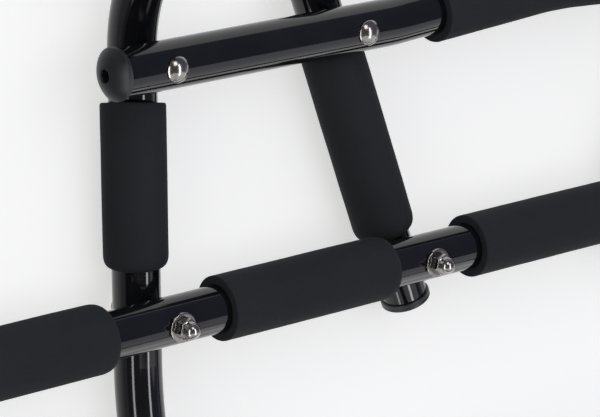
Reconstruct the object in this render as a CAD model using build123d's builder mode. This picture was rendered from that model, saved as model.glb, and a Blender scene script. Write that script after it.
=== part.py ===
from build123d import *

import os
from math import asin, atan2, cos, hypot, radians, sin, sqrt, tan

os.makedirs("parts", exist_ok=True)

# Doorway pull up bar. Frame: +X along the bars, +Y towards the wall, +Z up.
# The origin is on the underside of the hook pad, midway along it.

# ---- driving dimensions, in mm -------------------------------------------------

# round steel tube, the same for every round member
TUBE_R = 16.0
WALL = 1.5
BORE_R = TUBE_R - WALL

# where the members lie; the bars pass over the side and inner tubes
BAR_Z = -101.0
CROSSING_DROP = 2 * TUBE_R + 0.05
FRAME_Z = BAR_Z - CROSSING_DROP
MAIN_Y = -174.0
BAR_SPACING = 169.0
FRONT_Y = MAIN_Y - BAR_SPACING
SIDE_X = 338.0
INNER_MAIN_X = 119.0
INNER_FRONT_X = 180.0

# main bar: two halves on a joining sleeve
MAIN_HALF_LENGTH = 526.0
HALF_GAP = 0.2
JOINER_CLEARANCE = 0.1
JOINER_WALL = 2.0
JOINER_HALF_LENGTH = 90.0

# front bar: straight ends, with its middle set forward by a very shallow bend
FRONT_HALF_LENGTH = 374.0
FRONT_BEND_X = 149.0
FRONT_SET_FORWARD = 9.0
FRONT_KNEE_R = 200.0
FRONT_APEX_R = 300.0

# side tube, in its own upright plane: horn, straight run, easy bend, upright
UPRIGHT_Y = MAIN_Y + 200.0
UPRIGHT_TOP_Z = 41.0
UPRIGHT_BEND_R = 100.0
EASY_BEND_R = 300.0
EASY_BEND_DEG = 12.0
EASY_BEND_START = 35.0
HORN_BEND_START = 2.0
HORN_BEND_R = 100.0
HORN_DEG = 50.0
HORN_LENGTH = 115.0

# inner tube: overhang past each bar, along its own axis
INNER_OVERHANG = 38.0

# foam sleeves: outer radius, and start and end along the member
SIDE_FOAM_R = 21.5
INNER_FOAM_R = 21.6
MAIN_END_FOAM_R = 23.0
MAIN_MID_FOAM_R = 22.0
MAIN_CENTRE_FOAM_R = 21.9
FRONT_FOAM_R = 21.9
HORN_FOAM_R = 21.5
SIDE_FOAM_SPAN = (30.0, 141.5)
INNER_FOAM_SPAN = (14.5, 161.0)
MAIN_END_FOAM_SPAN = (389.0, 524.0)
MAIN_MID_FOAM_SPAN = (152.5, 297.0)
MAIN_CENTRE_FOAM_HALF = 77.5
FRONT_FOAM_HALF_X = 112.0
HORN_FOAM_SPAN = (8.0, 111.0)
SOFT_EDGE = 5.0
CUT_EDGE = 0.8

# plugs that close the round tubes: a tall dome on the front bar, a flatter one elsewhere
PLUG_CLEARANCE = 0.1
PLUG_STEM = 14.0
PLUG_R = 17.4
PLUG_EDGE = 1.0
PLUG_EYE_R = 4.2
PLUG_EYE_DEPTH = 6.0
FRONT_PLUG_RIM = 3.0
FRONT_PLUG_RISE = 7.2
FLAT_PLUG_RIM = 5.0
FLAT_PLUG_RISE = 5.0

# hook bar, its plugs and its pad
HOOK_DEPTH = 20.0
HOOK_HEIGHT = 30.0
HOOK_CORNER_R = 3.0
HOOK_HALF_LENGTH = 370.0
HOOK_PLUG_FLANGE = 3.0
HOOK_PLUG_STEM = 12.0
PAD_UNDER = 2.0
PAD_FRONT = 6.0
PAD_HALF_LENGTH = 362.0
PAD_HOLE_R = 10.5
PAD_EDGE = 1.5
HOOK_Z = PAD_UNDER + HOOK_HEIGHT / 2
HOOK_Y = UPRIGHT_Y - TUBE_R - 0.05 - HOOK_DEPTH / 2

# M8 fasteners: dome-headed square-neck bolts, washers, cap nuts
BOLT_R = 4.0
BOLT_HOLE_R = 4.25
HEAD_R = 8.5
HEAD_RISE = 4.8
HEAD_RIM = 0.6
NECK = 8.0
NECK_HOLE = 8.4
NECK_DEPTH = 3.0
WASHER_R = 10.0
WASHER_T = 1.6
NUT_FLATS = 13.0
NUT_HEX = 6.5
NUT_HEIGHT = 14.0
NUT_DOME_R = 6.0
NUT_THREAD = 10.0
THREAD_ENGAGED = 9.0
FRONT_BOLT_LENGTH = 45.0
WELD_NUT_R = 6.5
WELD_NUT_HEIGHT = 8.0
WELD_NUT_DROP = 3.1

# ---- derived places --------------------------------------------------------------

INNER_LEAN = atan2(INNER_FRONT_X - INNER_MAIN_X, BAR_SPACING)
INNER_SPAN = hypot(INNER_FRONT_X - INNER_MAIN_X, BAR_SPACING)
FRONT_TILT = atan2(FRONT_SET_FORWARD, FRONT_BEND_X)
HANDS = ((1, "right"), (-1, "left"))


def finish(piece, label):
    """Name a finished piece and write its file."""
    piece.part.label = label
    export_step(piece.part, f"parts/{label}.step")


def across(base):
    """Plane through a member's axis: its x runs along the member, its y is the radius."""
    return Plane(base.origin, x_dir=base.z_dir, z_dir=base.y_dir)


def side_base(side, distance):
    """Plane square to the straight run of a side tube, looking towards the front bar."""
    return Plane((side * SIDE_X, MAIN_Y - distance, FRAME_Z), x_dir=(0, 0, 1), z_dir=(0, -1, 0))


def main_base(side, distance):
    """Plane square to the main bar, looking outwards."""
    return Plane((side * distance, MAIN_Y, BAR_Z), x_dir=(0, 0, 1), z_dir=(side, 0, 0))


def inner_base(side, distance):
    """Plane square to an inner tube, looking from the main bar to the front bar."""
    along = (side * sin(INNER_LEAN), -cos(INNER_LEAN), 0)
    x = side * INNER_MAIN_X + distance * along[0]
    y = MAIN_Y + distance * along[1]
    return Plane((x, y, FRAME_Z), x_dir=(0, 0, 1), z_dir=along)


def horn_base(side, distance):
    """Plane square to a horn, distance measured outwards from the end of its bend."""
    lift = radians(HORN_DEG)
    y = FRONT_Y - HORN_BEND_START - HORN_BEND_R * sin(lift) - distance * cos(lift)
    z = FRAME_Z + HORN_BEND_R * (1 - cos(lift)) + distance * sin(lift)
    return Plane((side * SIDE_X, y, z), x_dir=(1, 0, 0), z_dir=(0, -cos(lift), sin(lift)))


def facing_back(base):
    """The same plane, looking the other way."""
    return Plane(base.origin, x_dir=base.x_dir, z_dir=-base.z_dir)


# ---- main bar --------------------------------------------------------------------

# Each half is a straight tube, drilled right through for its two bolts.
for side, hand in HANDS:
    with BuildPart() as main_half:
        with BuildSketch(main_base(side, HALF_GAP)):
            Circle(TUBE_R)
            Circle(BORE_R, mode=Mode.SUBTRACT)
        extrude(amount=MAIN_HALF_LENGTH - HALF_GAP)
        with Locations((side * SIDE_X, MAIN_Y, BAR_Z), (side * INNER_MAIN_X, MAIN_Y, BAR_Z)):
            Hole(BOLT_HOLE_R)
    finish(main_half, f"main_bar_{hand}")

# The sleeve slides inside both halves, under the centre foam.
with BuildPart() as joiner:
    with BuildSketch(main_base(1, -JOINER_HALF_LENGTH)):
        Circle(BORE_R - JOINER_CLEARANCE)
        Circle(BORE_R - JOINER_CLEARANCE - JOINER_WALL, mode=Mode.SUBTRACT)
    extrude(amount=2 * JOINER_HALF_LENGTH)
finish(joiner, "main_bar_joiner")

# ---- front bar -------------------------------------------------------------------


def front_y(x):
    """Where the front bar's axis lies at x, before its bends are rounded."""
    inside = max(FRONT_BEND_X - abs(x), 0)
    return FRONT_Y - inside * tan(FRONT_TILT)


with BuildPart() as front_bar:
    with BuildLine(Plane.XY.offset(BAR_Z)) as front_axis:
        FilletPolyline(
            (-FRONT_HALF_LENGTH, FRONT_Y),
            (-FRONT_BEND_X, FRONT_Y),
            (0, front_y(0)),
            (FRONT_BEND_X, FRONT_Y),
            (FRONT_HALF_LENGTH, FRONT_Y),
            radius=[FRONT_KNEE_R, FRONT_APEX_R, FRONT_KNEE_R],
        )
    with BuildSketch(Plane(front_axis.line @ 0, z_dir=front_axis.line % 0)):
        Circle(TUBE_R)
        Circle(BORE_R, mode=Mode.SUBTRACT)
    sweep(path=front_axis.line)
    front_spots = [(x, FRONT_Y) for x in (-SIDE_X, -INNER_FRONT_X, INNER_FRONT_X, SIDE_X)]
    with Locations(*[(x, y, BAR_Z) for x, y in front_spots]):
        Hole(BOLT_HOLE_R)
    with Locations(*[(x, y, BAR_Z + TUBE_R) for x, y in front_spots]):
        Box(NECK_HOLE, NECK_HOLE, 2 * NECK_DEPTH, mode=Mode.SUBTRACT)
finish(front_bar, "front_bar")

# ---- side tubes ------------------------------------------------------------------

# Laid out from the top of the upright, down and round to the tip of the horn.
for side, hand in HANDS:
    with BuildPart() as side_tube:
        easy = radians(EASY_BEND_DEG)
        with BuildLine(Plane.YZ.offset(side * SIDE_X)) as side_axis:
            run_end_y = MAIN_Y + EASY_BEND_START
            easy_end_y = run_end_y + EASY_BEND_R * sin(easy)
            easy_end_z = FRAME_Z + EASY_BEND_R * (1 - cos(easy))
            link = (UPRIGHT_Y - UPRIGHT_BEND_R * (1 - sin(easy)) - easy_end_y) / cos(easy)
            bend_top_z = easy_end_z + link * sin(easy) + UPRIGHT_BEND_R * cos(easy)
            upright = Line((UPRIGHT_Y, UPRIGHT_TOP_Z), (UPRIGHT_Y, bend_top_z))
            bend = JernArc(upright @ 1, upright % 1, UPRIGHT_BEND_R, EASY_BEND_DEG - 90)
            slope = Line(bend @ 1, (bend @ 1) + (bend % 1) * link)
            ease = JernArc(slope @ 1, slope % 1, EASY_BEND_R, -EASY_BEND_DEG)
            run_length = EASY_BEND_START + BAR_SPACING + HORN_BEND_START
            run = Line(ease @ 1, (ease @ 1) + (ease % 1) * run_length)
            lift_arc = JernArc(run @ 1, run % 1, HORN_BEND_R, -HORN_DEG)
            Line(lift_arc @ 1, (lift_arc @ 1) + (lift_arc % 1) * HORN_LENGTH)
        with BuildSketch(Plane(side_axis.line @ 0, z_dir=side_axis.line % 0)):
            Circle(TUBE_R)
            Circle(BORE_R, mode=Mode.SUBTRACT)
        sweep(path=side_axis.line)
        with Locations((side * SIDE_X, MAIN_Y, FRAME_Z)):
            Hole(BOLT_HOLE_R, depth=2 * TUBE_R)
        with Locations((side * SIDE_X, FRONT_Y, FRAME_Z + TUBE_R)):
            Hole(BOLT_HOLE_R, depth=TUBE_R / 2)
        with Locations((side * SIDE_X, MAIN_Y, FRAME_Z - TUBE_R)):
            Box(NECK_HOLE, NECK_HOLE, 2 * NECK_DEPTH, mode=Mode.SUBTRACT)
        hook_seat = Plane((side * SIDE_X, UPRIGHT_Y, HOOK_Z), x_dir=(1, 0, 0), z_dir=(0, 1, 0))
        with Locations(hook_seat):
            Hole(BOLT_HOLE_R, depth=2 * TUBE_R)
    finish(side_tube, f"side_tube_{hand}")

# ---- inner tubes -----------------------------------------------------------------

for side, hand in HANDS:
    with BuildPart() as inner_tube:
        with BuildSketch(inner_base(side, -INNER_OVERHANG)):
            Circle(TUBE_R)
            Circle(BORE_R, mode=Mode.SUBTRACT)
        extrude(amount=INNER_SPAN + 2 * INNER_OVERHANG)
        with Locations((side * INNER_MAIN_X, MAIN_Y, FRAME_Z)):
            Hole(BOLT_HOLE_R)
        with Locations((side * INNER_FRONT_X, FRONT_Y, FRAME_Z + TUBE_R)):
            Hole(BOLT_HOLE_R, depth=TUBE_R / 2)
        with Locations((side * INNER_MAIN_X, MAIN_Y, FRAME_Z - TUBE_R)):
            Box(NECK_HOLE, NECK_HOLE, 2 * NECK_DEPTH, mode=Mode.SUBTRACT)
    finish(inner_tube, f"inner_tube_{hand}")

# ---- foam sleeves ----------------------------------------------------------------


def foam_sleeve(label, base, length, outer_r, near_edge, far_edge):
    """Straight foam sleeve on a round tube, from the plane `base` outwards."""
    with BuildPart() as sleeve:
        with BuildSketch(across(base)) as section:
            with Locations((length / 2, (TUBE_R + outer_r) / 2)):
                Rectangle(length, outer_r - TUBE_R)
            outer_corners = section.vertices().group_by(Axis.Y)[-1].sort_by(Axis.X)
            fillet(outer_corners[0], near_edge)
            outer_corners = section.vertices().group_by(Axis.Y)[-1].sort_by(Axis.X)
            fillet(outer_corners[-1], far_edge)
        revolve(axis=Axis(base.origin, base.z_dir))
    finish(sleeve, label)


for side, hand in HANDS:
    start, end = MAIN_END_FOAM_SPAN
    base = main_base(side, start)
    foam_sleeve(f"main_end_foam_{hand}", base, end - start, MAIN_END_FOAM_R, SOFT_EDGE, CUT_EDGE)

    start, end = MAIN_MID_FOAM_SPAN
    base = main_base(side, start)
    foam_sleeve(f"main_mid_foam_{hand}", base, end - start, MAIN_MID_FOAM_R, SOFT_EDGE, CUT_EDGE)

    start, end = SIDE_FOAM_SPAN
    base = side_base(side, start)
    foam_sleeve(f"side_foam_{hand}", base, end - start, SIDE_FOAM_R, SOFT_EDGE, CUT_EDGE)

    start, end = INNER_FOAM_SPAN
    base = inner_base(side, start)
    foam_sleeve(f"inner_foam_{hand}", base, end - start, INNER_FOAM_R, SOFT_EDGE, SOFT_EDGE)

    start, end = HORN_FOAM_SPAN
    base = horn_base(side, start)
    foam_sleeve(f"horn_foam_{hand}", base, end - start, HORN_FOAM_R, SOFT_EDGE, CUT_EDGE)

centre_base = main_base(1, -MAIN_CENTRE_FOAM_HALF)
centre_length = 2 * MAIN_CENTRE_FOAM_HALF
foam_sleeve("main_centre_foam", centre_base, centre_length, MAIN_CENTRE_FOAM_R, CUT_EDGE, CUT_EDGE)

# The front foam follows the bar round its shallow middle bend.
with BuildPart() as front_foam:
    with BuildLine(Plane.XY.offset(BAR_Z)) as foam_axis:
        FilletPolyline(
            (-FRONT_FOAM_HALF_X, front_y(FRONT_FOAM_HALF_X)),
            (0, front_y(0)),
            (FRONT_FOAM_HALF_X, front_y(FRONT_FOAM_HALF_X)),
            radius=FRONT_APEX_R,
        )
    with BuildSketch(Plane(foam_axis.line @ 0, z_dir=foam_axis.line % 0)):
        Circle(FRONT_FOAM_R)
        Circle(TUBE_R, mode=Mode.SUBTRACT)
    sweep(path=foam_axis.line)
    end_rims = front_foam.edges().filter_by(GeomType.CIRCLE).filter_by(lambda e: e.radius > TUBE_R + 1)
    fillet(end_rims.sort_by(Axis.X)[0], CUT_EDGE)
    end_rims = front_foam.edges().filter_by(GeomType.CIRCLE).filter_by(lambda e: e.radius > TUBE_R + 1)
    fillet(end_rims.sort_by(Axis.X)[-1], CUT_EDGE)
finish(front_foam, "front_foam")

# ---- round plugs -----------------------------------------------------------------


def round_plug(label, base, rim=FLAT_PLUG_RIM, rise=FLAT_PLUG_RISE):
    """Moulded plug: a hollow-ended stem in the tube, a rim wider than the tube, and a
    domed face with an eye at its middle."""
    dome_r = (PLUG_R**2 + rise**2) / (2 * rise)
    dome_centre = rim + rise - dome_r
    eye_x = dome_centre + sqrt(dome_r**2 - PLUG_EYE_R**2)
    eye_floor = eye_x - PLUG_EYE_DEPTH
    half_way = asin(PLUG_R / dome_r) / 2
    dome_middle = (dome_centre + dome_r * cos(half_way), dome_r * sin(half_way))
    stem_r = BORE_R - PLUG_CLEARANCE
    with BuildPart() as plug:
        with BuildSketch(across(base)) as section:
            with BuildLine():
                Polyline((eye_x, PLUG_EYE_R), (eye_floor, PLUG_EYE_R), (eye_floor, 0))
                Polyline((eye_floor, 0), (-PLUG_STEM / 2, 0), (-PLUG_STEM / 2, stem_r / 2))
                Polyline((-PLUG_STEM / 2, stem_r / 2), (-PLUG_STEM, stem_r - 2), (-PLUG_STEM, stem_r))
                Polyline((-PLUG_STEM, stem_r), (0, stem_r), (0, PLUG_R), (rim, PLUG_R))
                ThreePointArc((rim, PLUG_R), dome_middle, (eye_x, PLUG_EYE_R))
            make_face()
            rim_corners = section.vertices().group_by(Axis.Y)[-1]
            fillet(rim_corners, PLUG_EDGE)
        revolve(axis=Axis(base.origin, base.z_dir))
    finish(plug, label)


for side, hand in HANDS:
    front_end = Plane((side * FRONT_HALF_LENGTH, FRONT_Y, BAR_Z), x_dir=(0, 0, 1), z_dir=(side, 0, 0))
    upright_end = Plane((side * SIDE_X, UPRIGHT_Y, UPRIGHT_TOP_Z), x_dir=(1, 0, 0), z_dir=(0, 0, 1))
    round_plug(f"main_bar_plug_{hand}", main_base(side, MAIN_HALF_LENGTH))
    round_plug(f"front_bar_plug_{hand}", front_end, FRONT_PLUG_RIM, FRONT_PLUG_RISE)
    round_plug(f"inner_tube_main_plug_{hand}", facing_back(inner_base(side, -INNER_OVERHANG)))
    round_plug(f"inner_tube_front_plug_{hand}", inner_base(side, INNER_SPAN + INNER_OVERHANG))
    round_plug(f"horn_plug_{hand}", horn_base(side, HORN_LENGTH))
    round_plug(f"upright_plug_{hand}", upright_end)

# ---- hook bar, its plugs and its pad -----------------------------------------------

with BuildPart() as hook_bar:
    with BuildSketch(Plane.YZ.offset(-HOOK_HALF_LENGTH)):
        with Locations((HOOK_Y, HOOK_Z)):
            RectangleRounded(HOOK_DEPTH, HOOK_HEIGHT, HOOK_CORNER_R)
            RectangleRounded(
                HOOK_DEPTH - 2 * WALL,
                HOOK_HEIGHT - 2 * WALL,
                HOOK_CORNER_R - WALL,
                mode=Mode.SUBTRACT,
            )
    extrude(amount=2 * HOOK_HALF_LENGTH)
    for side, hand in HANDS:
        with Locations(Plane((side * SIDE_X, HOOK_Y, HOOK_Z), x_dir=(1, 0, 0), z_dir=(0, -1, 0))):
            Hole(BOLT_HOLE_R)
        with Locations((side * SIDE_X, HOOK_Y - HOOK_DEPTH / 2, HOOK_Z)):
            Box(NECK_HOLE, 2 * NECK_DEPTH, NECK_HOLE, mode=Mode.SUBTRACT)
finish(hook_bar, "hook_bar")

for side, hand in HANDS:
    with BuildPart() as hook_plug:
        with BuildSketch(Plane.YZ.offset(side * HOOK_HALF_LENGTH)):
            with Locations((HOOK_Y, HOOK_Z)):
                RectangleRounded(HOOK_DEPTH, HOOK_HEIGHT, HOOK_CORNER_R)
        extrude(amount=side * HOOK_PLUG_FLANGE)
        outer_face = hook_plug.faces().sort_by(Axis.X)[-1 if side > 0 else 0]
        fillet(outer_face.edges(), PLUG_EDGE)
        with BuildSketch(Plane.YZ.offset(side * HOOK_HALF_LENGTH)):
            with Locations((HOOK_Y, HOOK_Z)):
                inside = WALL + PLUG_CLEARANCE
                Rectangle(HOOK_DEPTH - 2 * inside - 1, HOOK_HEIGHT - 2 * inside - 1)
        extrude(amount=-side * HOOK_PLUG_STEM)
    finish(hook_plug, f"hook_plug_{hand}")

# An L of dense foam, glued under the hook bar and on its wall side.
with BuildPart() as hook_pad:
    front = HOOK_Y - HOOK_DEPTH / 2 - PAD_FRONT
    with BuildSketch(Plane.YZ.offset(-PAD_HALF_LENGTH)) as pad_section:
        with BuildLine():
            Polyline(
                (front, 0),
                (HOOK_Y + HOOK_DEPTH / 2, 0),
                (HOOK_Y + HOOK_DEPTH / 2, PAD_UNDER),
                (front + PAD_FRONT, PAD_UNDER),
                (front + PAD_FRONT, PAD_UNDER + HOOK_HEIGHT),
                (front, PAD_UNDER + HOOK_HEIGHT),
                close=True,
            )
        make_face()
        wall_corners = pad_section.vertices().group_by(Axis.X)[0]
        fillet(wall_corners, PAD_EDGE)
    extrude(amount=2 * PAD_HALF_LENGTH)
    for side, hand in HANDS:
        with Locations(Plane((side * SIDE_X, front, HOOK_Z), x_dir=(1, 0, 0), z_dir=(0, -1, 0))):
            Hole(PAD_HOLE_R, depth=PAD_FRONT)
finish(hook_pad, "hook_pad")

# ---- fasteners ---------------------------------------------------------------------

# Main and hook bolts go through two members to a washer and a cap nut. Front bolts end in
# nuts welded inside the side and inner tubes. A seat is the plane on which a bolt's head
# sits, looking outwards, and grip is the depth of the two members under the head.
CROSSING_GRIP = CROSSING_DROP + 2 * TUBE_R
HOOK_GRIP = HOOK_DEPTH + 0.05 + 2 * TUBE_R

front_seats = [
    Plane((x, FRONT_Y, BAR_Z + TUBE_R), x_dir=(1, 0, 0), z_dir=(0, 0, 1))
    for x in (-SIDE_X, -INNER_FRONT_X, INNER_FRONT_X, SIDE_X)
]
main_seats = [
    Plane((x, MAIN_Y, FRAME_Z - TUBE_R), x_dir=(1, 0, 0), z_dir=(0, 0, -1))
    for x in (-SIDE_X, -INNER_MAIN_X, INNER_MAIN_X, SIDE_X)
]
hook_seats = [
    Plane((x, HOOK_Y - HOOK_DEPTH / 2, HOOK_Z), x_dir=(1, 0, 0), z_dir=(0, -1, 0))
    for x in (-SIDE_X, SIDE_X)
]


def bolts(label, seats, length):
    """Dome-headed bolts with a square neck that keeps each one from turning."""
    dome_r = (HEAD_R**2 + (HEAD_RISE - HEAD_RIM) ** 2) / (2 * (HEAD_RISE - HEAD_RIM))
    half_way = asin(HEAD_R / dome_r) / 2
    dome_centre = HEAD_RISE - dome_r
    dome_middle = (dome_centre + dome_r * cos(half_way), dome_r * sin(half_way))
    with BuildPart() as group:
        for seat in seats:
            with BuildSketch(across(seat)):
                with BuildLine():
                    Polyline((HEAD_RISE, 0), (0, 0), (0, HEAD_R), (HEAD_RIM, HEAD_R))
                    ThreePointArc((HEAD_RIM, HEAD_R), dome_middle, (HEAD_RISE, 0))
                make_face()
            revolve(axis=Axis(seat.origin, seat.z_dir))
            with BuildSketch(seat):
                Rectangle(NECK, NECK)
            extrude(amount=-NECK_DEPTH)
            with BuildSketch(seat):
                Circle(BOLT_R)
            extrude(amount=-length)
    finish(group, label)


def washers(label, seats, grip):
    """Flat washers, one on the far side of each pair of members."""
    with BuildPart() as group:
        for seat in seats:
            with BuildSketch(seat.offset(-grip)):
                Circle(WASHER_R)
                Circle(BOLT_HOLE_R, mode=Mode.SUBTRACT)
            extrude(amount=-WASHER_T)
    finish(group, label)


def cap_nuts(label, seats, grip):
    """Hexagon nuts with a domed, closed end over the bolt's tip."""
    with BuildPart() as group:
        for seat in seats:
            nut_seat = seat.offset(-(grip + WASHER_T))
            looking_out = facing_back(nut_seat)
            with BuildSketch(looking_out):
                RegularPolygon(NUT_FLATS / 2, 6, major_radius=False)
            extrude(amount=NUT_HEX)
            shoulder = NUT_HEIGHT - NUT_DOME_R
            with BuildSketch(across(looking_out)):
                with BuildLine():
                    Polyline((NUT_HEIGHT, 0), (0, 0), (0, NUT_DOME_R), (shoulder, NUT_DOME_R))
                    tip = NUT_DOME_R * sin(radians(45))
                    ThreePointArc((shoulder, NUT_DOME_R), (shoulder + tip, tip), (NUT_HEIGHT, 0))
                make_face()
            revolve(axis=Axis(looking_out.origin, looking_out.z_dir))
            with BuildSketch(looking_out):
                Circle(BOLT_R)
            extrude(amount=NUT_THREAD, mode=Mode.SUBTRACT)
    finish(group, label)


def weld_nuts(label, seats):
    """Round nuts welded under the top wall of each tube that the front bar lies on."""
    with BuildPart() as group:
        for seat in seats:
            with BuildSketch(seat.offset(-(CROSSING_DROP + WELD_NUT_DROP))):
                Circle(WELD_NUT_R)
                Circle(BOLT_R, mode=Mode.SUBTRACT)
            extrude(amount=-WELD_NUT_HEIGHT)
    finish(group, label)


bolts("front_bolts", front_seats, FRONT_BOLT_LENGTH)
weld_nuts("front_weld_nuts", front_seats)
for member, seats, grip in (
    ("main", main_seats, CROSSING_GRIP),
    ("hook", hook_seats, HOOK_GRIP),
):
    bolts(f"{member}_bolts", seats, grip + WASHER_T + THREAD_ENGAGED)
    washers(f"{member}_washers", seats, grip)
    cap_nuts(f"{member}_cap_nuts", seats, grip)
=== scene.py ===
from math import asin, atan2, cos, pi, radians, sin, sqrt

import bmesh
import bpy
from mathutils import Matrix, Vector, noise


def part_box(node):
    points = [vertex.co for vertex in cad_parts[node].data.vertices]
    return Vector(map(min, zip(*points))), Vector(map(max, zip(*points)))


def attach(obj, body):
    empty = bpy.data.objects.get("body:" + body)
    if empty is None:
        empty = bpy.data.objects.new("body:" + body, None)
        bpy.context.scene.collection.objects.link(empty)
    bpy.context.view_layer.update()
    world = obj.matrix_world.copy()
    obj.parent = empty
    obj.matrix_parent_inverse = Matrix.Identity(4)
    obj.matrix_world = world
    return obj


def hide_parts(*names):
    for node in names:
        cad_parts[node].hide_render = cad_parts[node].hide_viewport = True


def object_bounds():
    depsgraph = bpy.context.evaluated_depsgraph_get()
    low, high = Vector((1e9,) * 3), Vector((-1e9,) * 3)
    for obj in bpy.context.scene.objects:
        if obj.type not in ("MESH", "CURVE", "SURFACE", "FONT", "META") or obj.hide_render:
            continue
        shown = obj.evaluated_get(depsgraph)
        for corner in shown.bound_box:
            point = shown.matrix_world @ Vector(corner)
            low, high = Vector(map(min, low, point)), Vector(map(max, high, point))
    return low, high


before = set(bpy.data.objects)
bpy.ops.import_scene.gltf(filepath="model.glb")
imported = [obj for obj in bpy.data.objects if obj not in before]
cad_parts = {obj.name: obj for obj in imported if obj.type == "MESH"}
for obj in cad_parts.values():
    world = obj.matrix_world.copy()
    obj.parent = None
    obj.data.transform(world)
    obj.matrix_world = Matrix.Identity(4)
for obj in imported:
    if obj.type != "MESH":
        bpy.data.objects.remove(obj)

cad_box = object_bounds()
scene = bpy.context.scene


# ---- Viewpoint ---------------------------------------------------------------------
# The bar lies on a pale table and is looked down on from off its right-hand end, from
# well back through a long lens, so that parallel members stay nearly parallel.

eye = Vector((1.5755, -0.8290, 1.5234))
looked_at = Vector((0.2264, -0.2287, -0.1010))
level = Vector((-0.76832, 0.00523, 0.64004))

back = (eye - looked_at).normalized()
upright = back.cross(level).normalized()
camera_data = bpy.data.cameras.new("camera")
camera_data.sensor_width = 36.0
camera_data.lens = 200.0
camera_data.clip_start = 0.05
camera_data.clip_end = 60.0
camera = bpy.data.objects.new("camera", camera_data)
camera.matrix_world = Matrix((upright.cross(back), upright, back)).transposed().to_4x4()
camera.matrix_world.translation = eye
scene.collection.objects.link(camera)
scene.camera = camera
scene.view_settings.view_transform = "Standard"


# ---- Table and studio light ----------------------------------------------------------
# A white light-table top, lit through from below a little, so that shadows stay faint.
# A white wall stands behind the bar. Long softboxes hang overhead and off the bar's right
# end, with a square one in front, and they only make the highlights: two skies do the rest.


class Shade:
    """A socket of a shader. Sums on it add Math nodes, and node() adds any other."""

    def __init__(self, tree, socket=None):
        self.tree = tree
        self.socket = socket

    def node(self, kind, settings=None, inputs=None, output=0):
        made = self.tree.nodes.new(kind)
        for name, value in (settings or {}).items():
            if name == "stops":
                ramp = made.color_ramp.elements
                while len(ramp) < len(value):
                    ramp.new(0.5)
                for stop, (position, colour) in zip(ramp, value):
                    stop.position = position
                    stop.color = colour
            else:
                setattr(made, name, value)
        for name, value in (inputs or {}).items():
            if isinstance(value, Shade):
                self.tree.links.new(value.socket, made.inputs[name])
            else:
                made.inputs[name].default_value = value
        return Shade(self.tree, made.outputs[output])

    def sum(self, operation, first, second):
        return self.node("ShaderNodeMath", {"operation": operation}, {0: first, 1: second})

    def __add__(self, other):
        return self.sum("ADD", self, other)

    def __sub__(self, other):
        return self.sum("SUBTRACT", self, other)

    def __rsub__(self, other):
        return self.sum("SUBTRACT", other, self)

    def __mul__(self, other):
        return self.sum("MULTIPLY", self, other)

    __radd__ = __add__
    __rmul__ = __mul__

    def between(self, low, high):
        """0 where the value is at low, 1 where it is at high, and held there beyond them."""
        return self.node(
            "ShaderNodeMapRange",
            {"clamp": True, "interpolation_type": "SMOOTHSTEP"},
            {"Value": self, "From Min": low, "From Max": high},
        )

    def blend(self, plain, other):
        """The colour `plain` where this value is 0, and `other` where it is 1."""
        return self.node("ShaderNodeMix", {"data_type": "RGBA"}, {0: self, 6: plain, 7: other}, 2)


def hang(name, lamp, place, aim, along=(0, 1, 0)):
    """Hangs a lamp at a place, facing its aim. A softbox's second size runs `along`."""
    holder = bpy.data.objects.new(name, lamp)
    away = (Vector(place) - Vector(aim)).normalized()
    across = Vector(along).cross(away).normalized()
    holder.matrix_world = Matrix((across, away.cross(across), away)).transposed().to_4x4()
    holder.matrix_world.translation = place
    holder.visible_camera = False
    scene.collection.objects.link(holder)
    return holder


def softbox(name, place, aim, power, size, along=(0, 1, 0)):
    """A bright panel that is only seen in glossy surfaces."""
    lamp = bpy.data.lights.new(name, "AREA")
    lamp.energy = power
    lamp.shape = "RECTANGLE"
    lamp.size, lamp.size_y = size
    hang(name, lamp, place, aim, along).visible_diffuse = False


def sky(name, aim, power, spread):
    """A wide soft light from above, which lights matt surfaces and isn't seen in gloss."""
    lamp = bpy.data.lights.new(name, "SUN")
    lamp.energy = power
    lamp.angle = spread
    hang(name, lamp, (0, 0, 3), aim).visible_glossy = False


TABLE_HALF = 30.0
TABLE_GAP = 0.0005
SHEET_GAP = 0.0002
table_z = cad_box[0].z - TABLE_GAP


def table_sheet(name, height):
    """One flat sheet of the table, with its shader."""
    maker = bmesh.new()
    bmesh.ops.create_grid(maker, x_segments=4, y_segments=4, size=TABLE_HALF)
    mesh = bpy.data.meshes.new(name)
    maker.to_mesh(mesh)
    maker.free()
    sheet = bpy.data.objects.new(name, mesh)
    sheet.location.z = height
    scene.collection.objects.link(sheet)
    finish = bpy.data.materials.new(name)
    finish.use_nodes = True
    mesh.materials.append(finish)
    return sheet, finish.node_tree.nodes["Principled BSDF"], Shade(finish.node_tree)


table_top, shader, shade = table_sheet("table_top", table_z)
shader.inputs["Base Color"].default_value = (0.74, 0.74, 0.73, 1)
shader.inputs["Roughness"].default_value = 0.9
shader.inputs["Emission Color"].default_value = (1, 1, 0.985, 1)
shader.inputs["Emission Strength"].default_value = 0.55
table_top.visible_glossy = False
table_top.visible_diffuse = False

# The gloss paint mirrors a duller table than the eye sees, dullest off the bar's right end.
mirrored, shader, shade = table_sheet("table_mirrored", table_z - SHEET_GAP)
across = shade.node("ShaderNodeTexCoord", output="Object")
across = shade.node("ShaderNodeSeparateXYZ", {}, {"Vector": across}, "X")
sheen = across.between(0.44, 0.34).blend((0.30, 0.30, 0.31, 1), (0.92, 0.92, 0.93, 1))
shade.tree.links.new(sheen.socket, shader.inputs["Emission Color"])
shader.inputs["Emission Strength"].default_value = 1.0
shader.inputs["Base Color"].default_value = (0, 0, 0, 1)
shader.inputs["Specular IOR Level"].default_value = 0.0
mirrored.visible_camera = False
mirrored.visible_diffuse = False
mirrored.visible_shadow = False

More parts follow.
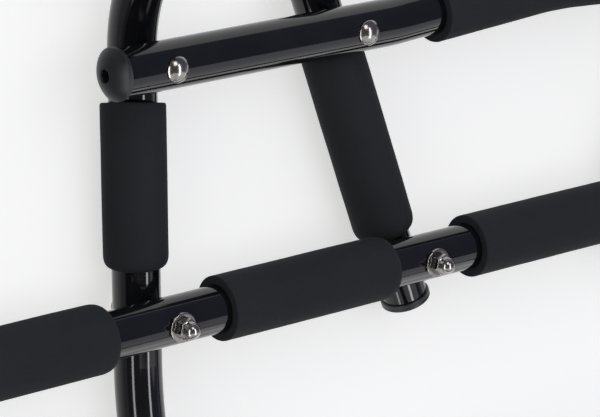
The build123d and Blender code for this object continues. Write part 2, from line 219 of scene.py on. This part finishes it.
middle = Vector((0.26, -0.25, -0.12))
overhead = middle + 2.1 * Vector((-0.215, 0.02, 0.976))
in_front = middle + 2.2 * Vector((0.156, -0.688, 0.713))
end_middle = middle + Vector((0, 0.6, 0))
off_the_end = end_middle + 2.1 * Vector((0.885, 0.06, 0.462))
softbox("wall_glow", (-0.24, 1.05, 1.6), (-0.24, -0.25, 1.6), 40.0, (4.6, 3.5), (0, 0, 1))
softbox("overhead_box", overhead, middle, 21.0, (0.32, 2.7))
softbox("end_box", off_the_end, end_middle, 22.0, (0.32, 3.6))
softbox("front_box", in_front, middle, 8.0, (0.8, 0.9))
sky("soft_sky", (0.1, 2.6, 0), 1.35, radians(100))
sky("side_sky", (-4.6, 0.6, 0.8), 0.55, radians(30))

world = bpy.data.worlds.new("studio")
world.use_nodes = True
scene.world = world
air = Shade(world.node_tree)
towards = air.node("ShaderNodeTexCoord", output="Generated")
heading = {
    axis: air.node("ShaderNodeSeparateXYZ", {}, {"Vector": towards}, axis) for axis in "XYZ"
}

# The room is dim, bluish off the left end, and pale low down there and along the horizon.
backdrop = world.node_tree.nodes["Background"]
dim = heading["X"].between(0.35, -0.35).blend((0.12, 0.12, 0.13, 1), (0.155, 0.16, 0.23, 1))
glow = heading["Z"].between(0.60, 0.05) * heading["X"].between(0.0, -0.7)
glow = glow * heading["Y"].between(-0.10, 0.20)
skyline = heading["Z"].between(0.09, 0.065) * heading["X"].between(0.30, 0.0)
shown = glow.sum("MAXIMUM", glow, skyline).blend(dim, (0.95, 0.95, 0.95, 1))
world.node_tree.links.new(shown.socket, backdrop.inputs["Color"])


# ---- Painted steel tube ----------------------------------------------------------------
# Every round member is drawn steel tube, 32 mm across, and the hook bar is square-sided
# tube. All are sprayed gloss black, which dries with a faint orange-peel ripple.


def new_finish(name, **steady):
    """A material with one shader. What is the same all over is set on the shader itself."""
    material = bpy.data.materials.new(name)
    material.use_nodes = True
    shader = material.node_tree.nodes["Principled BSDF"]
    for socket, value in steady.items():
        shader.inputs[socket.replace("_", " ")].default_value = value
    return material, shader, Shade(material.node_tree)


def feed(shade, shader, **varying):
    for socket, value in varying.items():
        shade.tree.links.new(value.socket, shader.inputs[socket.replace("_", " ")])


def spots(shade, where, size, detail=2.0, roughness=0.5):
    """Smooth cloudy noise, from 0 to 1, whose blotches are `size` metres across."""
    settings = {"Vector": where, "Scale": 1 / size, "Detail": detail, "Roughness": roughness}
    return shade.node("ShaderNodeTexNoise", {}, settings)


def relief(shade, height, depth, under=None):
    inputs = {"Height": height, "Strength": 1.0, "Distance": depth}
    if under is not None:
        inputs["Normal"] = under
    return shade.node("ShaderNodeBump", {}, inputs)


paint, shader, shade = new_finish("gloss_black_paint", IOR=1.5)
where = shade.node("ShaderNodeTexCoord", output="Object")
peel = spots(shade, where, 0.0025, 1.0)
long_wave = spots(shade, where, 0.022, 1.0)
handled = spots(shade, where, 0.035, 4.0).between(0.42, 0.72)
dust = spots(shade, where, 0.0011, 0.0).between(0.74, 0.80)
feed(
    shade,
    shader,
    Base_Color=(handled * 0.5 + dust * 0.5).blend(
        (0.0055, 0.0058, 0.0078, 1), (0.0105, 0.0108, 0.0130, 1)
    ),
    Roughness=0.075 + handled * 0.045 + dust * 0.10,
    Normal=relief(shade, long_wave, 0.000012, relief(shade, peel, 0.0000016)),
)

for member in (
    "main_bar_left", "main_bar_right", "main_bar_joiner", "front_bar", "side_tube_left",
    "side_tube_right", "inner_tube_left", "inner_tube_right", "hook_bar",
):
    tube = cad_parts[member]
    tube.data.materials.clear()
    tube.data.materials.append(paint)


# ---- Foam sleeves --------------------------------------------------------------------
# Charcoal closed-cell rubber foam, cut from long moulded sleeve and pushed on dry. A cut
# end is square and a moulded end is rolled over. It dents, swells and wanders a little.

HANDS = (("right", 1), ("left", -1))
BORE = 0.01603


def eased(corners, steps=7):
    """An outline through corners (along, radius, ease before, ease after), each corner
    rounded off over those two distances."""
    outline = []
    for i, (along, radius, before, after) in enumerate(corners):
        corner = Vector((along, radius))
        if not before and not after:
            outline.append(corner)
            continue
        last = Vector(corners[i - 1][:2])
        following = Vector(corners[(i + 1) % len(corners)][:2])
        start = corner + (last - corner).normalized() * before
        end = corner + (following - corner).normalized() * after
        for k in range(steps + 1):
            t = k / steps
            outline.append(start * (1 - t) ** 2 + corner * 2 * t * (1 - t) + end * t * t)
    return outline


def divided(outline, longest):
    """The same outline, with no run longer than `longest`."""
    finer = []
    for here, there in zip(outline, outline[1:]):
        parts = max(1, int((there - here).length / longest + 0.999))
        finer += [here.lerp(there, k / parts) for k in range(parts)]
    return finer + [outline[-1]]


def straight(start, direction):
    """The line of a straight member: distance along it to (point, direction)."""
    heading = Vector(direction).normalized()
    return lambda along: (Vector(start) + heading * along, heading)


def turned(name, line, outline, around=96, closed=False, shaped=None):
    """A piece turned about a line. outline is (along, radius) points; a radius of 0 is on
    the axis. shaped(along, radius, angle, point) may move each point along and outwards."""
    maker = bmesh.new()
    rings = []
    for along, radius in outline:
        middle, heading = line(along)
        aside = heading.orthogonal().normalized()
        other = heading.cross(aside)
        if radius < 1e-7:
            rings.append([maker.verts.new(middle)])
            continue
        ring = []
        for k in range(around):
            angle = 2 * pi * k / around
            outwards = aside * cos(angle) + other * sin(angle)
            shift, reach = 0.0, radius
            if shaped:
                shift, reach = shaped(along, radius, angle, middle + outwards * radius)
            ring.append(maker.verts.new(middle + outwards * reach + heading * shift))
        rings.append(ring)
    pairs = list(zip(rings, rings[1:]))
    if closed:
        pairs.append((rings[-1], rings[0]))
    for one, two in pairs:
        for k in range(around):
            n = (k + 1) % around
            if len(one) == 1:
                maker.faces.new((one[0], two[n], two[k]))
            elif len(two) == 1:
                maker.faces.new((one[k], one[n], two[0]))
            else:
                maker.faces.new((one[k], one[n], two[n], two[k]))
    bmesh.ops.recalc_face_normals(maker, faces=maker.faces)
    return placed(name, maker)


def placed(name, maker):
    """The finished mesh as a smooth-shaded piece of the bar."""
    mesh = bpy.data.meshes.new(name)
    maker.to_mesh(mesh)
    maker.free()
    mesh.shade_smooth()
    piece = bpy.data.objects.new(name, mesh)
    scene.collection.objects.link(piece)
    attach(piece, "root")
    return piece


def measured(node, direction):
    """Where a round CAD node starts along a direction, on its own axis, with its length
    and radius."""
    heading = Vector(direction).normalized()
    aside = heading.orthogonal().normalized()
    other = heading.cross(aside)
    points = [v.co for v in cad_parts[node].data.vertices]
    spans = [
        (min(p.dot(axis) for p in points), max(p.dot(axis) for p in points))
        for axis in (heading, aside, other)
    ]
    start = heading * spans[0][0]
    start += aside * sum(spans[1]) / 2 + other * sum(spans[2]) / 2
    return start, spans[0][1] - spans[0][0], (spans[1][1] - spans[1][0]) / 2


foam, shader, shade = new_finish("charcoal_foam", IOR=1.4, Specular_IOR_Level=0.3)
where = shade.node("ShaderNodeTexCoord", output="Object")
cloud = spots(shade, where, 0.045, 3.0)
grain = spots(shade, where, 0.0011, 3.0, 0.6)
cells = shade.node("ShaderNodeTexVoronoi", {"feature": "F1"}, {"Vector": where, "Scale": 1300.0})
rare = shade.node("ShaderNodeTexVoronoi", {"feature": "F1"}, {"Vector": where, "Scale": 210.0})
# Small round pits in the foam. The bump below presses each one in, and the colour is darkened
# there as well: that darkening is painted shade inside the pit.
pit_with_painted_shade = 1 - rare.between(0.05, 0.13)
scuffed = spots(shade, where, 0.012, 5.0, 0.7).between(0.56, 0.80)
body_tone = cloud.between(0.3, 0.7).blend(
    (0.0163, 0.0183, 0.0220, 1), (0.0200, 0.0221, 0.0262, 1)
)
speckled = (grain.between(0.35, 0.75) * 0.5 + scuffed * 0.3).blend(
    (0.0166, 0.0184, 0.0216, 1), (0.0243, 0.0261, 0.0297, 1)
)
tone = shade.node("ShaderNodeMix", {"data_type": "RGBA"}, {0: 0.45, 6: body_tone, 7: speckled}, 2)
feed(
    shade,
    shader,
    # Painted shade: each pit is darkened towards near black.
    Base_Color=(pit_with_painted_shade * 0.6).blend(tone, (0.008, 0.0085, 0.010, 1)),
    Roughness=0.80 + grain * 0.14 - scuffed * 0.06,
    Normal=relief(
        shade,
        cells,
        0.00010,
        relief(shade, grain - pit_with_painted_shade * 1.5, 0.00012, relief(shade, cloud, 0.0006)),
    ),
)


END_REACH = 0.004
END_SHRINK = 0.0002
ASKEW_REACH = 0.03
SQUARE = (0, 0, 0)


def sleeve(name, line, length, radius, near, far, slant=SQUARE):
    """A foam sleeve. near and far are how each end's rim is eased: (along, inwards). slant
    is how far the far end's cut runs askew: its slopes along X, Y and Z."""
    slope = Vector(slant)
    first = line(0)[0]
    corners = [
        (0, BORE, 0, 0),
        (0, radius, near[1], near[0]),
        (length, radius, far[0], far[1]),
        (length, BORE, 0, 0),
    ]
    outline = divided(eased(corners, 9), 0.0016)

    def lived_in(along, reach, angle, point):
        proud = min(1.0, max(0.0, (reach - BORE) / (radius - BORE)))
        swell = noise.noise(point * 28.0) * 0.00016 + noise.noise(point * 120.0) * 0.00005
        middle = sin(pi * min(1.0, max(0.0, along / length)))
        swell += 0.00010 * middle - 0.00022
        uneven = noise.noise(point * 60.0) * 0.00025 * (1 if along > length / 2 else -1)
        near_end = max(0.0, 1 - min(along, length - along) / END_REACH)
        askew = (point - first).dot(slope) * max(0.0, 1 - (length - along) / ASKEW_REACH)
        shift = uneven * near_end * proud + askew
        shrunk = END_SHRINK * near_end * (1 if along > length / 2 else -1)
        return shift - shrunk, reach + swell * proud

    piece = turned(name, line, outline, 112, True, lived_in)
    piece.data.materials.append(foam)
    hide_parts(name)


ROLLED = (0.0085, 0.0052)
CUT = (0.0009, 0.0009)
EASED = (0.0022, 0.0016)
ASKEW_TRIM = 0.0025
SLANT = atan2(0.061, 0.169)
LIFT = radians(50)

for hand, side in HANDS:
    for node, direction, near, far, slant in (
        (f"main_end_foam_{hand}", (side, 0, 0), ROLLED, CUT, SQUARE),
        (f"main_mid_foam_{hand}", (side, 0, 0), ROLLED, CUT, SQUARE),
        (f"side_foam_{hand}", (0, -1, 0), ROLLED, EASED, (side * 0.17, 0, 0.20)),
        (f"inner_foam_{hand}", (side * sin(SLANT), -cos(SLANT), 0), ROLLED, ROLLED, SQUARE),
        (f"horn_foam_{hand}", (0, -cos(LIFT), sin(LIFT)), ROLLED, CUT, SQUARE),
    ):
        start, length, radius = measured(node, direction)
        if slant != SQUARE:
            length -= ASKEW_TRIM
        sleeve(node, straight(start, direction), length, radius, near, far, slant)

start, length, radius = measured("main_centre_foam", (1, 0, 0))
sleeve("main_centre_foam", straight(start, (1, 0, 0)), length, radius, CUT, CUT)

# The front bar's middle is bent forward a few degrees, and its sleeve bends with it.
FRONT_TILT = atan2(0.0090, 0.149)
APEX_RADIUS = 0.300
front_low, front_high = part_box("front_foam")
front_radius = (front_high.z - front_low.z) / 2
half_chord = front_high.x - front_radius * sin(FRONT_TILT)
apex_y = front_low.y + front_radius
half_arc = APEX_RADIUS * FRONT_TILT
half_run = (half_chord - APEX_RADIUS * sin(FRONT_TILT)) / cos(FRONT_TILT)
front_length = 2 * (half_arc + half_run)


def front_line(along):
    out = along - front_length / 2
    turn = min(abs(out), half_arc) / APEX_RADIUS
    beyond = max(0.0, abs(out) - half_arc)
    hand = 1 if out > 0 else -1
    x = hand * (APEX_RADIUS * sin(turn) + beyond * cos(turn))
    y = apex_y + APEX_RADIUS * (1 - cos(turn)) + beyond * sin(turn)
    point = Vector((x, y, (front_low.z + front_high.z) / 2))
    return point, Vector((cos(turn), hand * sin(turn), 0))


sleeve("front_foam", front_line, front_length, front_radius, CUT, CUT)


# ---- Moulded caps and plugs ------------------------------------------------------------
# Satin black rubber, moulded in two halves. Each has a stem that grips inside the tube, a
# rim wider than the tube, and a domed face with the moulding's blind eye at its middle.

rubber, shader, shade = new_finish("moulded_rubber", IOR=1.5)
where = shade.node("ShaderNodeTexCoord", output="Object")
bloom = spots(shade, where, 0.006, 4.0, 0.6)
etch = spots(shade, where, 0.0005, 2.0)
feed(
    shade,
    shader,
    Base_Color=bloom.between(0.35, 0.75).blend(
        (0.0052, 0.0066, 0.0092, 1), (0.0090, 0.0108, 0.0142, 1)
    ),
    Roughness=0.34 + bloom * 0.10 + etch * 0.06,
    Normal=relief(shade, etch, 0.00002, relief(shade, bloom, 0.00008)),
)

STEM_R = 0.0144
DOMED = (0.003, 0.0072)
FLAT = (0.005, 0.005)
EYE_R = 0.0042
EYE_DEPTH = 0.006
MOUTH_R = EYE_R + 0.0006


def plug(name, direction, rim, rise):
    """A plug that faces a direction, with the height of its rim and of its dome."""
    start, length, radius = measured(name, direction)
    stem = length - rim - rise
    dome_r = (radius**2 + rise**2) / (2 * rise)
    crown = stem + rim + rise - dome_r
    lip = crown + sqrt(dome_r**2 - MOUTH_R**2)
    floor = lip - EYE_DEPTH
    dome = []
    edge = asin((radius - 0.0008) / dome_r)
    mouth = asin(MOUTH_R / dome_r)
    for k in range(18):
        angle = edge + (mouth - edge) * k / 17
        dome.append((crown + dome_r * cos(angle), dome_r * sin(angle), 0, 0))
    parting = stem + rim * 0.55
    corners = [
        (0, 0, 0, 0),
        (0, STEM_R - 0.002, 0.0004, 0.0004),
        (0.002, STEM_R, 0.0005, 0.0005),
        (stem - 0.0001, STEM_R, 0, 0),
        (stem + 0.00005, radius, 0.0005, 0.0005),
        (parting - 0.00025, radius, 0, 0),
        (parting, radius - 0.00012, 0, 0),
        (parting + 0.00025, radius, 0, 0),
        (dome[0][0] - 0.0007, radius, 0.0004, 0.0006),
        *dome,
        (lip - 0.0003, EYE_R + 0.0002, 0.0002, 0.0002),
        (lip - 0.0010, EYE_R, 0, 0),
        (floor, EYE_R - 0.0003, 0.0004, 0.0004),
        (floor - 0.0004, 0, 0, 0),
    ]
    piece = turned(name, straight(start, direction), divided(eased(corners, 5), 0.002), 96)
    piece.data.materials.append(rubber)
    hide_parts(name)


for hand, side in HANDS:
    inwards = (-side * sin(SLANT), cos(SLANT), 0)
    outwards = (side * sin(SLANT), -cos(SLANT), 0)
    plug(f"front_bar_plug_{hand}", (side, 0, 0), *DOMED)
    plug(f"main_bar_plug_{hand}", (side, 0, 0), *FLAT)
    plug(f"inner_tube_main_plug_{hand}", inwards, *FLAT)
    plug(f"inner_tube_front_plug_{hand}", outwards, *FLAT)
    plug(f"horn_plug_{hand}", (0, -cos(LIFT), sin(LIFT)), *FLAT)
    plug(f"upright_plug_{hand}", (0, 0, 1), *FLAT)
    flat_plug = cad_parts[f"hook_plug_{hand}"]
    flat_plug.data.materials.clear()
    flat_plug.data.materials.append(rubber)


# ---- Bolts, washers and cap nuts -------------------------------------------------------
# Bright nickel-plated M8 coach bolts, each with a domed head and a square neck. On the far
# side is a flat washer and a domed cap nut, or for the front bar a nut welded in the tube.

plate, shader, shade = new_finish("bright_nickel", IOR=2.0)
where = shade.node("ShaderNodeTexCoord", output="Object")
haze = spots(shade, where, 0.0035, 4.0, 0.6)
tumbled = spots(shade, where, 0.00035, 2.0)
feed(
    shade,
    shader,
    Base_Color=haze.between(0.3, 0.75).blend((0.36, 0.34, 0.32, 1), (0.24, 0.225, 0.21, 1)),
    Metallic=1.0 - haze.between(0.62, 0.80) * 0.12,
    Roughness=0.10 + haze * 0.10 + tumbled * 0.05,
    Normal=relief(shade, tumbled, 0.000006, relief(shade, haze, 0.00003)),
)

HEAD_RISE = 0.0048
HEAD_R = 0.0085
HEAD_EDGE = 0.0006
NECK = 0.008
SHANK_R = 0.004
NECK_DEPTH = 0.003
NECK_CORNER = 0.66
WASHER_HOLE_R = 0.00425
NUT_FLATS = 0.013
NUT_HEX = 0.0065
NUT_FACE_R = 0.0064
NUT_CORNER_R = 0.0076
DOME_R = 0.006
APART = 0.03


def lumps(node, out):
    """The separate fasteners in a CAD node, each as the middle of its outermost face, its
    depth along `out`, and its radius across."""
    points = sorted((v.co.copy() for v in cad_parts[node].data.vertices), key=lambda p: p.x)
    groups = [[points[0]]]
    for point in points[1:]:
        if point.x - groups[-1][-1].x > APART:
            groups.append([])
        groups[-1].append(point)
    aside = out.orthogonal().normalized()
    other = out.cross(aside)
    found = []
    for group in groups:
        spans = [
            (min(p.dot(axis) for p in group), max(p.dot(axis) for p in group))
            for axis in (out, aside, other)
        ]
        face = out * spans[0][1] + aside * sum(spans[1]) / 2 + other * sum(spans[2]) / 2
        found.append((face, spans[0][1] - spans[0][0], (spans[1][1] - spans[1][0]) / 2))
    return found


def plated(piece, node):
    piece.data.materials.append(plate)
    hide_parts(node)


def bolt(name, node, face, length, out):
    """A dome-headed bolt whose crown is at `face`, with its square neck under the head."""
    dome_r = (HEAD_R**2 + (HEAD_RISE - HEAD_EDGE) ** 2) / (2 * (HEAD_RISE - HEAD_EDGE))
    crown = length - dome_r
    dome = []
    for k in range(20):
        angle = asin((HEAD_R - 0.0002) / dome_r) * (1 - k / 19)
        dome.append((crown + dome_r * cos(angle), dome_r * sin(angle), 0, 0))
    seat = length - HEAD_RISE
    corners = [
        (0, 0, 0, 0),
        (0, SHANK_R - 0.0008, 0, 0),
        (0.0010, SHANK_R, 0, 0),
        (seat - NECK_DEPTH, SHANK_R, 0, 0),
        (seat - NECK_DEPTH, NECK / 2, 0, 0),
        (seat, NECK / 2, 0, 0),
        (seat, HEAD_R, 0.0002, 0.0002),
        (seat + HEAD_EDGE, HEAD_R, 0.0002, 0.0002),
        *dome,
    ]

    def square_neck(along, radius, angle, point):
        if seat - NECK_DEPTH - 0.0001 < along < seat + 1e-6 and abs(radius - NECK / 2) < 1e-6:
            corner = max(abs(cos(angle)), abs(sin(angle)))
            return 0.0, min(radius / corner, NECK * NECK_CORNER)
        return 0.0, radius

    line = straight(face - out * length, out)
    plated(turned(name, line, divided(eased(corners, 4), 0.004), 96, False, square_neck), node)


def washer(name, node, face, depth, radius, out):
    corners = [
        (0, WASHER_HOLE_R, 0.0001, 0.0001),
        (0, radius, 0.00025, 0.00025),
        (depth, radius, 0.00045, 0.00045),
        (depth, WASHER_HOLE_R, 0.0001, 0.0001),
    ]
    line = straight(face - out * depth, out)
    plated(turned(name, line, divided(eased(corners, 5), 0.002), 96, True), node)


def cap_nut(name, node, face, height, out):
    """A hexagon nut with its edges chamfered, closed by a dome whose tip is at `face`."""
    shoulder = height - DOME_R
    corners = [(0, 0, 0, 0), (0, NUT_FACE_R, 0, 0), (0.0006, NUT_CORNER_R, 0, 0)]
    corners += [(NUT_HEX * k / 8, NUT_CORNER_R, 0, 0) for k in range(2, 8)]
    corners += [(NUT_HEX - 0.0006, NUT_CORNER_R, 0, 0), (NUT_HEX, 0.0062, 0.0002, 0.0002)]
    corners += [(NUT_HEX + 0.0001, DOME_R, 0, 0), (shoulder, DOME_R, 0, 0)]
    for k in range(1, 17):
        angle = pi / 2 * k / 16
        corners.append((shoulder + DOME_R * sin(angle), DOME_R * cos(angle), 0, 0))

    def hexagon(along, radius, angle, point):
        if along > NUT_HEX + 0.00005 or radius < 0.0055:
            return 0.0, radius
        flat = NUT_FLATS / 2 / cos((angle + pi / 6) % (pi / 3) - pi / 6)
        from_end = min(along, NUT_HEX - along)
        return 0.0, min(radius, flat, NUT_FACE_R + from_end / 0.55)

    line = straight(face - out * height, out)
    plated(turned(name, line, eased(corners, 4), 96, False, hexagon), node)


for member, out in (
    ("front", Vector((0, 0, 1))),
    ("main", Vector((0, 0, -1))),
    ("hook", Vector((0, -1, 0))),
):
    for number, (face, length, _) in enumerate(lumps(f"{member}_bolts", out), 1):
        bolt(f"{member}_bolt_{number}", f"{member}_bolts", face, length, out)
    if member == "front":
        continue
    for number, (face, depth, radius) in enumerate(lumps(f"{member}_washers", -out), 1):
        washer(f"{member}_washer_{number}", f"{member}_washers", face, depth, radius, -out)
    for number, (face, height, _) in enumerate(lumps(f"{member}_cap_nuts", -out), 1):
        cap_nut(f"{member}_cap_nut_{number}", f"{member}_cap_nuts", face, height, -out)

# The front bolts end out of sight, in nuts welded inside the tubes below.
weld_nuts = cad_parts["front_weld_nuts"]
weld_nuts.data.materials.clear()
weld_nuts.data.materials.append(plate)


# ---- Hook pad ----------------------------------------------------------------------------
# One L-shaped strip of dense black foam, glued under the hook bar and up its wall side, so
# that the hook doesn't mark the door trim. It has a round clearance hole at each bolt.

pad_foam, shader, shade = new_finish("pad_foam", IOR=1.4)
where = shade.node("ShaderNodeTexCoord", output="Object")
skin = spots(shade, where, 0.0009, 3.0, 0.6)
patch = spots(shade, where, 0.03, 3.0)
feed(
    shade,
    shader,
    Base_Color=patch.between(0.3, 0.7).blend(
        (0.011, 0.0115, 0.012, 1), (0.017, 0.0175, 0.0185, 1)
    ),
    Roughness=0.78 + skin * 0.18,
    Normal=relief(shade, skin, 0.00010, relief(shade, patch, 0.0004)),
)

PAD_UNDER = 0.002
PAD_FRONT = 0.006
PAD_CORNER = 0.0022
HOLE_R = 0.0105
HOLE_DEPTH = 0.0079
CUTS = 240
pad_low, pad_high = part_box("hook_pad")
section = [
    (pad_low.y, pad_low.z, PAD_CORNER, PAD_CORNER),
    (pad_low.y, pad_high.z, PAD_CORNER, PAD_CORNER),
    (pad_low.y + PAD_FRONT, pad_high.z, 0.0004, 0.0004),
    (pad_low.y + PAD_FRONT, pad_low.z + PAD_UNDER, 0, 0),
    (pad_high.y, pad_low.z + PAD_UNDER, 0.0003, 0.0003),
    (pad_high.y, pad_low.z, 0.0006, 0.0006),
]
section = divided(eased(section + section[:1], 6)[:-7], 0.003)
maker = bmesh.new()
loops = []
for k in range(CUTS + 1):
    x = pad_low.x + (pad_high.x - pad_low.x) * k / CUTS
    loop = []
    for y, z in section:
        wander = noise.noise(Vector((x, y, z)) * 40.0) * 0.00018 - 0.0002
        free = 1 if y < pad_low.y + PAD_FRONT - 0.0002 else 0
        loop.append(maker.verts.new((x, y - wander * free * 0.9, z)))
    loops.append(loop)
for one, two in zip(loops, loops[1:]):
    for k in range(len(section)):
        n = (k + 1) % len(section)
        maker.faces.new((one[k], one[n], two[n], two[k]))
maker.faces.new(loops[0])
maker.faces.new(list(reversed(loops[-1])))
bmesh.ops.recalc_face_normals(maker, faces=maker.faces)
hook_pad = placed("hook_pad_foam", maker)
hook_pad.data.materials.append(pad_foam)
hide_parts("hook_pad")
holes = []
for face, _, _ in lumps("hook_bolts", Vector((0, -1, 0))):
    mouth = Vector((face.x, pad_low.y - 0.002, face.z))
    outline = [(0, 0), (0, HOLE_R + 0.002), (0.0018, HOLE_R + 0.0008), (0.0030, HOLE_R)]
    outline += [(HOLE_DEPTH, HOLE_R), (HOLE_DEPTH, 0)]
    cutter = turned("pad_hole", straight(mouth, (0, 1, 0)), outline, 64)
    cut = hook_pad.modifiers.new("hole", "BOOLEAN")
    cut.object = cutter
    cut.operation = "DIFFERENCE"
    holes.append(cutter)
bpy.context.view_layer.update()
shaped_pad = bpy.data.meshes.new_from_object(
    hook_pad.evaluated_get(bpy.context.evaluated_depsgraph_get())
)
hook_pad.modifiers.clear()
hook_pad.data = shaped_pad
for cutter in holes:
    bpy.data.objects.remove(cutter)
